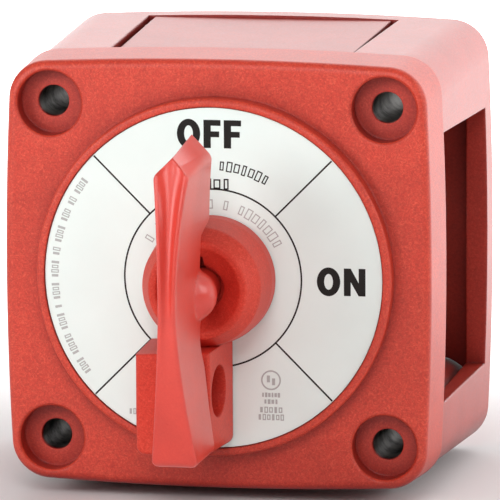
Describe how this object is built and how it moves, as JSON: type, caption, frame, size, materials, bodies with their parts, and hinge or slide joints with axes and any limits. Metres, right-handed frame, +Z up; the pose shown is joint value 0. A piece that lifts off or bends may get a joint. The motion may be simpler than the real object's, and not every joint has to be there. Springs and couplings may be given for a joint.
{
  "type": "battery switch",
  "caption": "Square surface-mount battery isolator with raised round dial, removable waisted key, padlock lug, side cable entries and rear terminal studs.",
  "frame": {"origin": "centre of the four mounting holes, on the back mounting face", "axes": "+X right and +Z up as seen from the front, +Y into the mounting wall; the dial and key face -Y"},
  "size_m": [0.0732, 0.093, 0.0732],
  "materials": {
    "red_plastic": "fine matte moulded, slightly mottled",
    "red_key": "satin moulded",
    "dial_print": "printed satin film",
    "black_plastic": "matte moulded",
    "rubber_seal": "matte",
    "stainless": "brushed",
    "tinned_copper": "satin tin plate",
    "copper": "machined",
    "silver": "satin"
  },
  "bodies": {
    "housing": {"front_cover": "red_plastic", "case": "red_plastic", "mounting_sleeves": "stainless", "dial": "dial_print", "contact_block": "black_plastic", "block_gasket": "rubber_seal", "block_screws": "stainless", "fixed_contacts": "copper", "terminal_studs": "tinned_copper", "flat_washers": "stainless", "lock_washers": "stainless", "hex_nuts": "stainless"},
    "rotor": {"rotor_head": "red_plastic", "contact_carrier": "black_plastic", "contact_bridge": "copper", "contact_spring": "stainless", "contact_tips": "silver", "detent_balls": "stainless", "detent_springs": "stainless", "shaft_ring": "rubber_seal", "thrust_washer": "stainless", "retaining_clip": "stainless", "rotor_screw": "stainless", "rotor_washer": "stainless"},
    "key": {"key": "red_key", "key_ring": "rubber_seal"},
    "top_plate": {"top_plate": "red_plastic"},
    "bottom_plate": {"bottom_plate": "red_plastic"},
    "left_plate": {"left_plate": "red_plastic"},
    "rear_cover": {"rear_cover": "red_plastic"}
  },
  "joints": [
    {"name": "rotor_turn", "type": "hinge", "parent": "housing", "child": "rotor", "pos_m": [0, -0.05675, 0], "axis": [0, 1, 0], "range_deg": [0, 90]},
    {"name": "key_pull", "type": "slide", "parent": "rotor", "child": "key", "axis": [0, -1, 0], "range_m": [0, 0.025]},
    {"name": "top_plate_pull", "type": "slide", "parent": "housing", "child": "top_plate", "axis": [0, 0, 1], "range_m": [0, 0.015]},
    {"name": "bottom_plate_pull", "type": "slide", "parent": "housing", "child": "bottom_plate", "axis": [0, 0, -1], "range_m": [0, 0.015]},
    {"name": "left_plate_pull", "type": "slide", "parent": "housing", "child": "left_plate", "axis": [-1, 0, 0], "range_m": [0, 0.015]},
    {"name": "rear_cover_pull", "type": "slide", "parent": "housing", "child": "rear_cover", "axis": [0, 1, 0], "range_m": [0, 0.04]}
  ]
}
